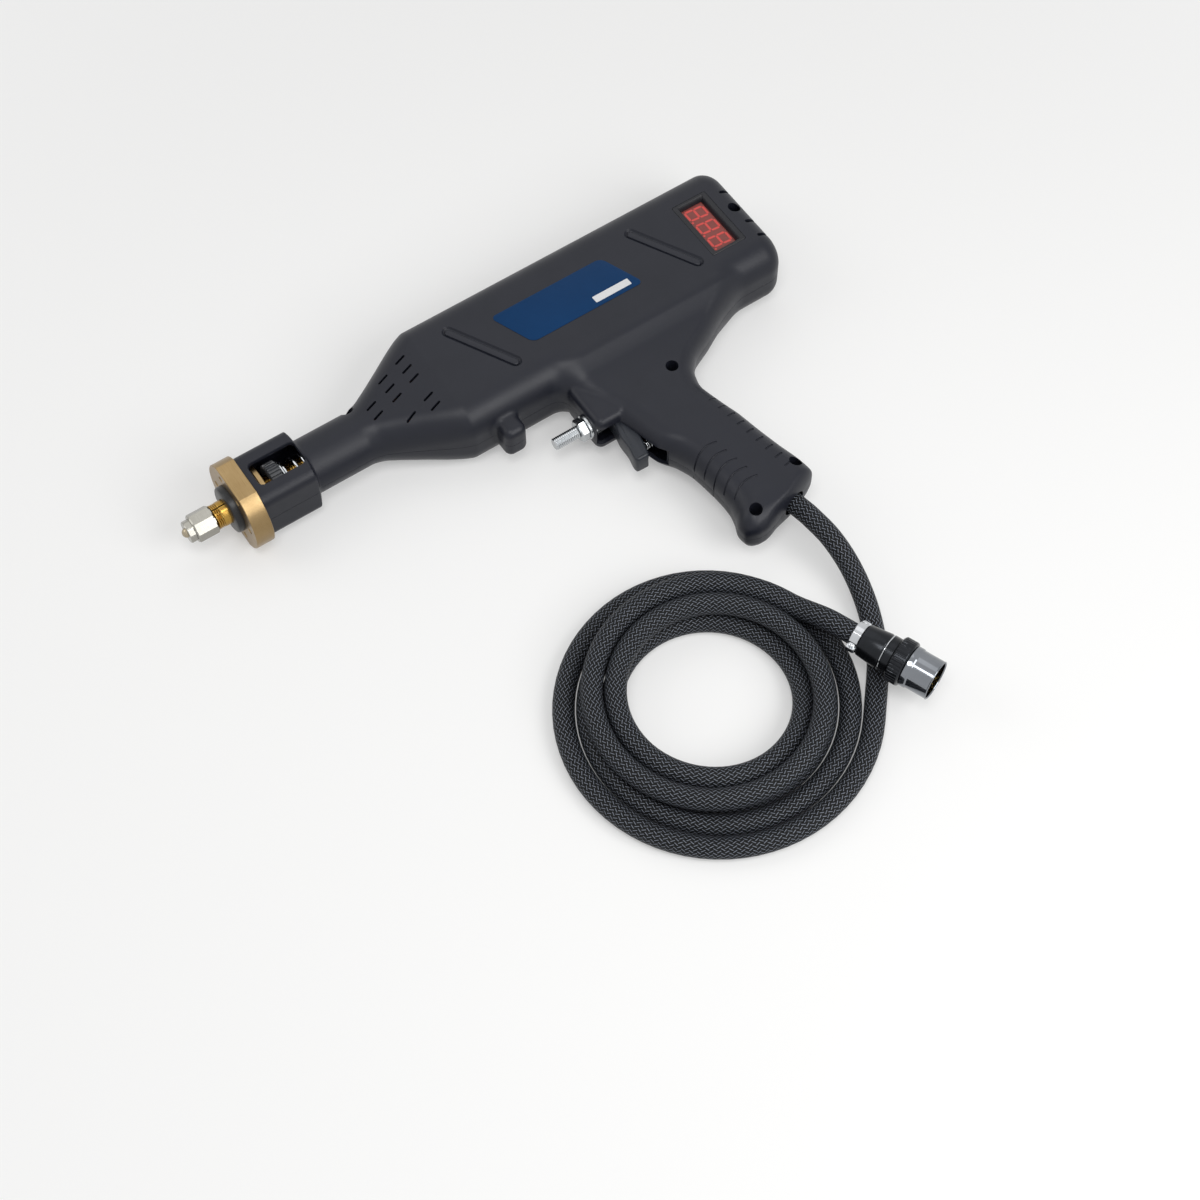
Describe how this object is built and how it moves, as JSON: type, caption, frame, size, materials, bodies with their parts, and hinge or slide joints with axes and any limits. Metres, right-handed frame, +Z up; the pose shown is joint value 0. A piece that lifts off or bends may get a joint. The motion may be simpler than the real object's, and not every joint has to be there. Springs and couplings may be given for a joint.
{
  "type": "stud welder",
  "caption": "Pistol-shaped stud welding gun with a sprung electrode, a fluted adjuster behind a window, a digital display, a trigger and a coiled braided lead with a round connector.",
  "frame": {"origin": "middle of the gun's box on the floor it lies on, without the lead", "axes": "+X from the electrode to the rear of the body, +Y to the body's top edge away from the grip, +Z up out of the left side"},
  "size_m": [0.4072, 0.4, 0.0503],
  "materials": {
    "shell_plastic": "moulded satin, fine grain",
    "bezel_plastic": "matt black",
    "label_film": "printed film, bare",
    "lens_red": "tinted clear acrylic",
    "led_body": "moulded",
    "board": "solder mask",
    "screw_steel": "blackened",
    "bright_steel": "zinc plated",
    "core_steel": "laminated",
    "copper": "copper",
    "enamel_wire": "enamelled copper",
    "brass_satin": "milled satin",
    "brass_polished": "turned, polished",
    "nickel": "nickel plated",
    "black_nylon": "turned",
    "white_nylon": "natural",
    "trigger_plastic": "moulded",
    "spring_steel": "bright",
    "switch_plastic": "moulded",
    "plunger_red": "moulded",
    "gland_rubber": "moulded",
    "braid": "braided polyester sleeve",
    "backshell": "satin dark",
    "connector_metal": "bright nickel",
    "insert_plastic": "amber",
    "gold": "gold plated"
  },
  "bodies": {
    "gun": {"left_shell": "shell_plastic", "right_shell": "shell_plastic", "housing_screws": "screw_steel", "name_label": "label_film", "display_bezel": "bezel_plastic", "display_lens": "lens_red", "display_module": "led_body", "control_board": "board", "board_screws": "bright_steel", "transformer_core": "core_steel", "primary_winding": "enamel_wire", "secondary_winding": "copper", "earth_bar": "copper", "flexible_link": "copper", "nose_flange": "brass_satin", "insulating_bush": "black_nylon", "rear_guide": "white_nylon", "return_spring": "spring_steel", "trigger_pin": "bright_steel", "trigger_spring": "spring_steel", "microswitch": "switch_plastic", "terminal_stud": "bright_steel", "terminal_nuts": "bright_steel", "terminal_washer": "bright_steel", "lead_gland": "gland_rubber", "lead_tube": "braid", "lead_coil": "braid", "connector_clamp": "connector_metal", "clamp_screws": "bright_steel", "connector_backshell": "backshell", "connector_shell": "connector_metal", "connector_insert": "insert_plastic", "connector_pins": "gold"},
    "electrode": {"electrode_shaft": "brass_polished", "shaft_circlip": "spring_steel", "link_screw": "bright_steel"},
    "thrust": {"thrust_washer": "bright_steel"},
    "adjuster": {"adjuster_ring": "black_nylon"},
    "tip": {"electrode_tip": "copper"},
    "chuck": {"chuck_nut": "nickel"},
    "trigger_arm": {"trigger": "trigger_plastic"},
    "plunger": {"switch_plunger": "plunger_red"},
    "coupling": {"coupling_ring": "connector_metal"}
  },
  "joints": [
    {"name": "electrode_slide", "type": "slide", "parent": "gun", "child": "electrode", "axis": [1, 0, 0], "range_m": [0, 0.006], "stiffness_N_per_m": 3000, "deforming": ["return_spring", "flexible_link"]},
    {"name": "thrust_slide", "type": "slide", "parent": "electrode", "child": "thrust", "axis": [1, 0, 0], "range_m": [-0.00224, 0.00224], "deforming": ["return_spring"]},
    {"name": "adjuster_turn", "type": "hinge", "parent": "thrust", "child": "adjuster", "pos_m": [-0.1396, 0.0745, 0.025], "axis": [1, 0, 0], "range_deg": [-540, 540]},
    {"name": "tip_slide", "type": "slide", "parent": "electrode", "child": "tip", "axis": [1, 0, 0], "range_m": [-0.00299, 0]},
    {"name": "chuck_turn", "type": "hinge", "parent": "tip", "child": "chuck", "pos_m": [-0.1894, 0.0745, 0.025], "axis": [1, 0, 0], "range_deg": [-720, 0]},
    {"name": "trigger_pull", "type": "hinge", "parent": "gun", "child": "trigger_arm", "pos_m": [0.0526, 0.0025, 0.025], "axis": [0, 0, 1], "range_deg": [0, 9], "stiffness_Nm_per_rad": 0.5, "deforming": ["trigger_spring"]},
    {"name": "plunger_slide", "type": "slide", "parent": "gun", "child": "plunger", "axis": [1, 0, 0], "range_m": [0, 0.0026]},
    {"name": "coupling_turn", "type": "hinge", "parent": "gun", "child": "coupling", "pos_m": [0.09282, -0.23077, 0.027], "axis": [0.3693, -0.9293, 0], "continuous": true}
  ],
  "couplings": [
    {"joint": "adjuster_turn", "follows": "thrust_slide", "rad_per_m": 4188.8},
    {"joint": "chuck_turn", "follows": "tip_slide", "rad_per_m": 4188.8},
    {"joint": "plunger_slide", "follows": "trigger_pull", "m_per_rad": 0.016}
  ]
}
